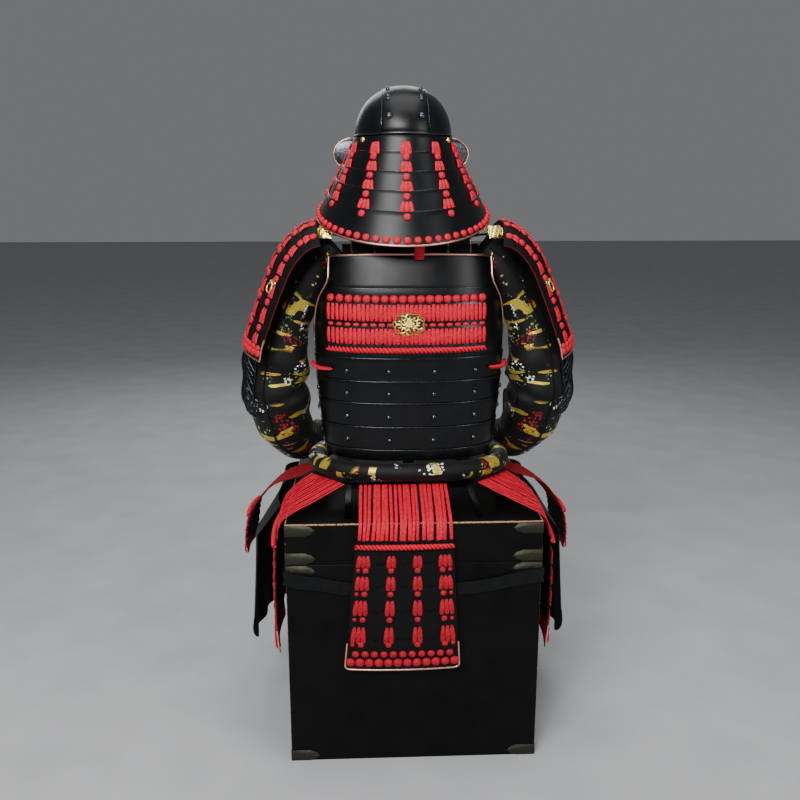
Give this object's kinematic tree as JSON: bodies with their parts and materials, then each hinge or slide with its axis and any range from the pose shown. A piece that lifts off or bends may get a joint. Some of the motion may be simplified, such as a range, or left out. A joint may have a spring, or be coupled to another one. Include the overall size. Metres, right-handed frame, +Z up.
{
  "type": "samurai armour on storage box stand",
  "caption": "Full laced plate armour with helmet, shoulder guards, brocade sleeves, skirt and thigh guards, set on a display stand on its square storage box.",
  "frame": {"origin": "centre of the storage box's underside", "axes": "+Z up, -Y the way the wearer faces, +X the wearer's left"},
  "size_m": [0.7414, 0.5544, 1.361],
  "materials": {
    "black_lacquer": "satin black lacquer on plate",
    "box_lacquer": "matt black lacquer, worn at the edges",
    "red_silk": "flat braided silk cord",
    "brocade": "black brocade with gold mist, blossom and leaves",
    "black_cotton": "plain black cotton",
    "gilt": "polished gilt",
    "copper_trim": "rubbed copper edging",
    "antique_brass": "aged dark brass",
    "blackened_mail": "blackened steel rings",
    "stand_steel": "gloss black paint"
  },
  "bodies": {
    "root": {"back_laced_plate": "black_lacquer", "back_ornament": "gilt", "back_top_plate": "black_lacquer", "back_waist_plate": "black_lacquer", "box_body": "box_lacquer", "box_lid": "box_lacquer", "clasp_left": "gilt", "clasp_right": "gilt", "elbow_mail_left": "blackened_mail", "elbow_mail_right": "blackened_mail", "front_laced_plate": "black_lacquer", "front_top_plate": "black_lacquer", "front_waist_plate": "black_lacquer", "hand_guard_left": "black_lacquer", "hand_guard_right": "black_lacquer", "helmet_bowl": "black_lacquer", "helmet_visor": "black_lacquer", "neck_lame_1": "black_lacquer", "neck_lame_2": "black_lacquer", "neck_lame_3": "black_lacquer", "neck_lame_4": "black_lacquer", "neck_lame_5": "black_lacquer", "ring_mount_left": "gilt", "ring_mount_right": "gilt", "shoulder_guard_left": "black_lacquer", "shoulder_guard_right": "black_lacquer", "shoulder_strap_left": "black_cotton", "shoulder_strap_right": "black_cotton", "side_cord_left": "red_silk", "side_cord_right": "red_silk", "side_tie": "black_cotton", "sleeve_left": "brocade", "sleeve_right": "brocade", "sleeve_yoke": "black_cotton", "stand_base": "stand_steel", "stand_frame": "stand_steel", "stand_head": "black_cotton", "tasset_back": "black_lacquer", "tasset_cords_back": "red_silk", "tasset_cords_front_left": "red_silk", "tasset_cords_front_right": "red_silk", "tasset_cords_rear_left": "red_silk", "tasset_cords_rear_right": "red_silk", "tasset_cords_side_left": "red_silk", "tasset_cords_side_right": "red_silk", "tasset_front_left": "black_lacquer", "tasset_front_right": "black_lacquer", "tasset_rear_left": "black_lacquer", "tasset_rear_right": "black_lacquer", "tasset_side_left": "black_lacquer", "tasset_side_right": "black_lacquer", "thigh_guard_left": "black_cotton", "thigh_guard_right": "black_cotton", "thigh_guard_tie": "black_cotton", "turnback_left": "black_lacquer", "turnback_right": "black_lacquer", "waist_roll": "brocade"},
    "ring_left": {"ring_left": "gilt"},
    "ring_right": {"ring_right": "gilt"}
  },
  "joints": [
    {"name": "ring_left_swing", "type": "hinge", "parent": "root", "child": "ring_left", "pos_m": [0.2781, 0.0962, 0.98289], "axis": [0.4255, -0.8854, 0.187], "range_deg": [0, 165]},
    {"name": "ring_right_swing", "type": "hinge", "parent": "root", "child": "ring_right", "pos_m": [-0.2781, 0.0962, 0.98289], "axis": [0.4255, 0.8854, -0.187], "range_deg": [0, 165]}
  ]
}
